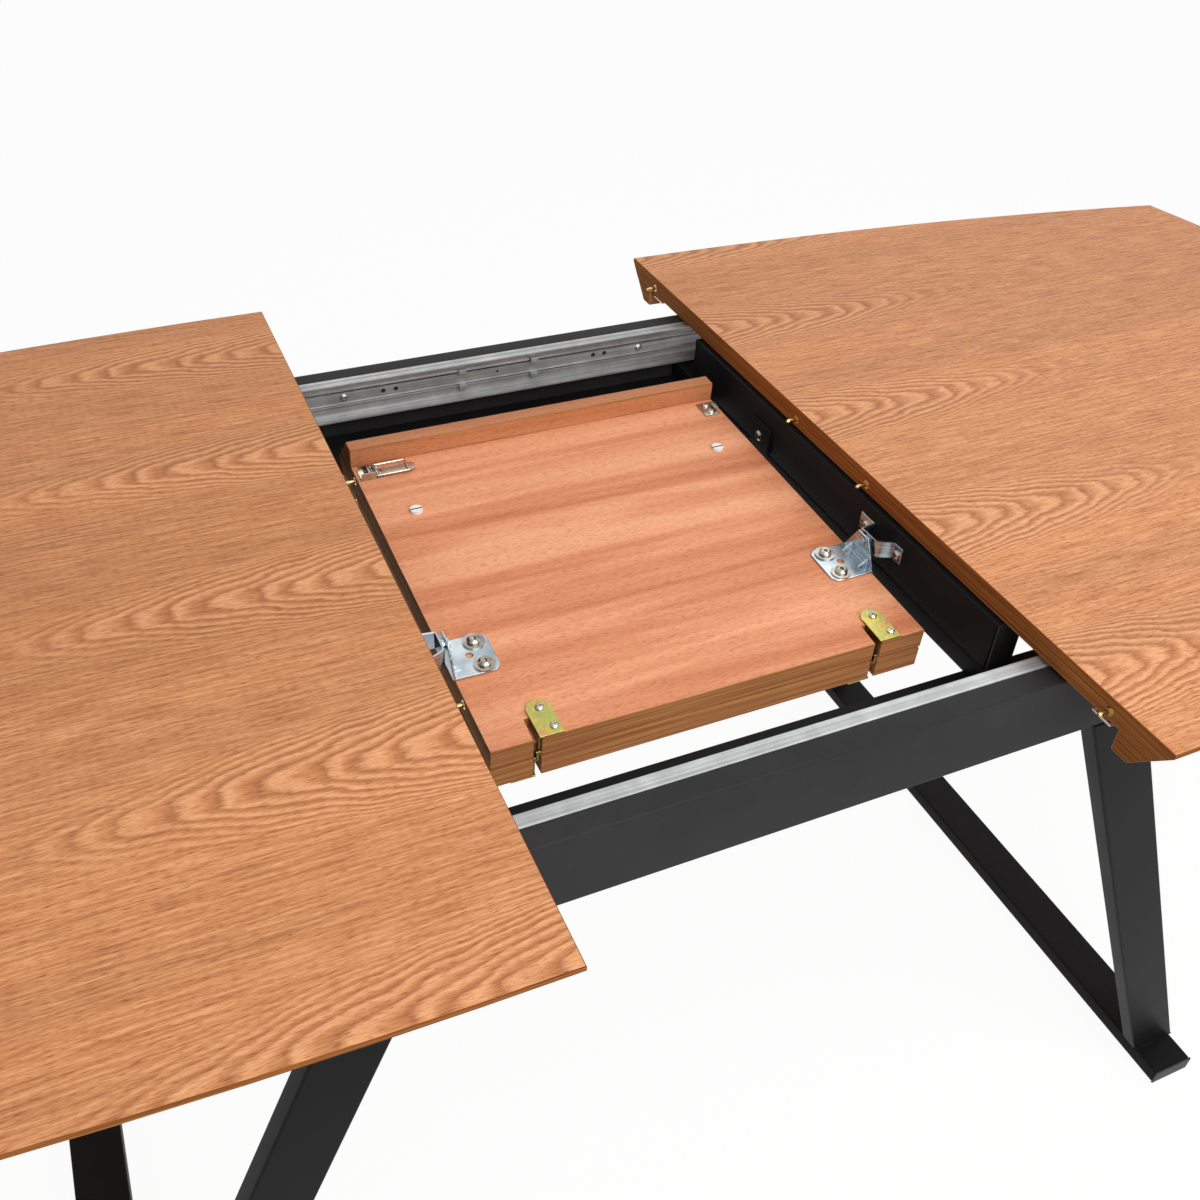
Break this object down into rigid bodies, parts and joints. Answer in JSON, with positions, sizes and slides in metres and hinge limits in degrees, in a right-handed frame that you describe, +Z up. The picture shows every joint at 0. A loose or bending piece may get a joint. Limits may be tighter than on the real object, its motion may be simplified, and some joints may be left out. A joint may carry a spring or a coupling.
{
  "type": "extending dining table",
  "caption": "Barrel-shaped oak dining table on a black steel sled frame, pulled open on ball slides over a stored folding leaf.",
  "frame": {"origin": "on the floor under the middle of the table", "axes": "+X along the table's length towards the half with the pins, +Z up"},
  "size_m": [2.052, 0.9, 0.755],
  "materials": {
    "oak_veneer": "matt lacquered oak veneer",
    "black_steel": "fine black powder coat",
    "zinc_steel": "blue-white zinc plating",
    "yellow_zinc": "yellow zinc plating",
    "wood_screw_zinc": "zinc plated screw",
    "nickel": "bright nickel plating",
    "brass": "turned brass",
    "white_nylon": "moulded nylon",
    "black_plastic": "moulded plastic"
  },
  "bodies": {
    "frame": {"front_rail": "black_steel", "back_rail": "black_steel", "rail_ledges": "black_steel", "crossbars": "black_steel", "crossbar_bases": "black_steel", "crossbar_plates": "black_steel", "frame_screws": "zinc_steel", "slide_channels": "zinc_steel", "pivot_hats": "zinc_steel", "pivot_rivets": "zinc_steel", "left_leg_posts": "black_steel", "right_leg_posts": "black_steel", "left_runner": "black_steel", "right_runner": "black_steel", "tube_caps": "black_plastic", "floor_pads": "black_plastic"},
    "left_top": {"left_top_board": "oak_veneer", "left_top_lip": "oak_veneer", "left_top_keepers": "nickel", "left_top_screws": "wood_screw_zinc", "left_slide_members": "zinc_steel", "left_slide_angles": "zinc_steel"},
    "right_top": {"right_top_board": "oak_veneer", "right_top_lip": "oak_veneer", "right_top_pins": "brass", "right_top_screws": "wood_screw_zinc", "right_top_latch_bases": "nickel", "right_slide_members": "zinc_steel", "right_slide_angles": "zinc_steel"},
    "left_cages": {"left_ball_cages": "zinc_steel"},
    "right_cages": {"right_ball_cages": "zinc_steel"},
    "leaf_front": {"leaf_front_board": "oak_veneer", "leaf_front_lip": "oak_veneer", "leaf_front_hinge_plates": "yellow_zinc", "leaf_front_buttons": "white_nylon", "leaf_front_pins": "brass", "leaf_front_screws": "wood_screw_zinc", "leaf_front_keeper": "nickel", "leaf_front_latch_base": "nickel", "pivot_brackets": "zinc_steel", "pivot_bolts": "zinc_steel", "pivot_washers": "zinc_steel"},
    "fold_links": {"fold_links": "yellow_zinc"},
    "leaf_back": {"leaf_back_board": "oak_veneer", "leaf_back_lip": "oak_veneer", "leaf_back_hinge_plates": "yellow_zinc", "leaf_back_buttons": "white_nylon", "leaf_back_pins": "brass", "leaf_back_screws": "wood_screw_zinc", "leaf_back_keeper": "nickel", "leaf_back_latch_base": "nickel"},
    "leaf_front_lever": {"leaf_front_latch_lever": "nickel"},
    "leaf_front_bail": {"leaf_front_latch_bail": "nickel"},
    "leaf_back_lever": {"leaf_back_latch_lever": "nickel"},
    "leaf_back_bail": {"leaf_back_latch_bail": "nickel"},
    "front_lever": {"front_latch_lever": "nickel"},
    "front_bail": {"front_latch_bail": "nickel"},
    "back_lever": {"back_latch_lever": "nickel"},
    "back_bail": {"back_latch_bail": "nickel"}
  },
  "joints": [
    {"name": "left_slide", "type": "slide", "parent": "frame", "child": "left_top", "axis": [-1, 0, 0], "range_m": [-0.2257, 0]},
    {"name": "right_slide", "type": "slide", "parent": "frame", "child": "right_top", "axis": [1, 0, 0], "range_m": [-0.2257, 0]},
    {"name": "left_cage_run", "type": "slide", "parent": "frame", "child": "left_cages", "axis": [-1, 0, 0], "range_m": [-0.11285, 0]},
    {"name": "right_cage_run", "type": "slide", "parent": "frame", "child": "right_cages", "axis": [1, 0, 0], "range_m": [-0.11285, 0]},
    {"name": "leaf_turn", "type": "hinge", "parent": "frame", "child": "leaf_front", "pos_m": [0, -0.10602, 0.714], "axis": [1, 0, 0], "range_deg": [0, 178]},
    {"name": "fold_front", "type": "hinge", "parent": "leaf_front", "child": "fold_links", "pos_m": [0, -0.20763, 0.67193], "axis": [-1, 0, 0], "range_deg": [0, 90]},
    {"name": "fold_back", "type": "hinge", "parent": "fold_links", "child": "leaf_back", "pos_m": [0, -0.20742, 0.66593], "axis": [-1, 0, 0], "range_deg": [0, 90]},
    {"name": "leaf_front_lever_turn", "type": "hinge", "parent": "leaf_front", "child": "leaf_front_lever", "pos_m": [-0.187, 0.17035, 0.70764], "axis": [0, -0.9994, -0.0349], "range_deg": [0, 90]},
    {"name": "leaf_front_bail_swing", "type": "hinge", "parent": "leaf_front_lever", "child": "leaf_front_bail", "pos_m": [-0.18, 0.17035, 0.70764], "axis": [0, -0.9994, -0.0349], "range_deg": [0, 90]},
    {"name": "leaf_back_lever_turn", "type": "hinge", "parent": "leaf_back", "child": "leaf_back_lever", "pos_m": [-0.187, 0.17213, 0.65667], "axis": [0, 0.9994, 0.0349], "range_deg": [0, 90]},
    {"name": "leaf_back_bail_swing", "type": "hinge", "parent": "leaf_back_lever", "child": "leaf_back_bail", "pos_m": [-0.18, 0.17213, 0.65667], "axis": [0, 0.9994, 0.0349], "range_deg": [0, 90]},
    {"name": "front_lever_turn", "type": "hinge", "parent": "right_top", "child": "front_lever", "pos_m": [0.2525, -0.382, 0.73], "axis": [0, 1, 0], "range_deg": [0, 90]},
    {"name": "front_bail_swing", "type": "hinge", "parent": "front_lever", "child": "front_bail", "pos_m": [0.2595, -0.382, 0.73], "axis": [0, 1, 0], "range_deg": [-90, 0]},
    {"name": "back_lever_turn", "type": "hinge", "parent": "right_top", "child": "back_lever", "pos_m": [0.2525, 0.382, 0.73], "axis": [0, 1, 0], "range_deg": [0, 90]},
    {"name": "back_bail_swing", "type": "hinge", "parent": "back_lever", "child": "back_bail", "pos_m": [0.2595, 0.382, 0.73], "axis": [0, 1, 0], "range_deg": [-90, 0]}
  ],
  "couplings": [
    {"joint": "left_cage_run", "follows": "left_slide", "ratio": 0.5},
    {"joint": "right_cage_run", "follows": "right_slide", "ratio": 0.5},
    {"joint": "front_bail_swing", "follows": "front_lever_turn", "ratio": -1},
    {"joint": "back_bail_swing", "follows": "back_lever_turn", "ratio": -1}
  ]
}
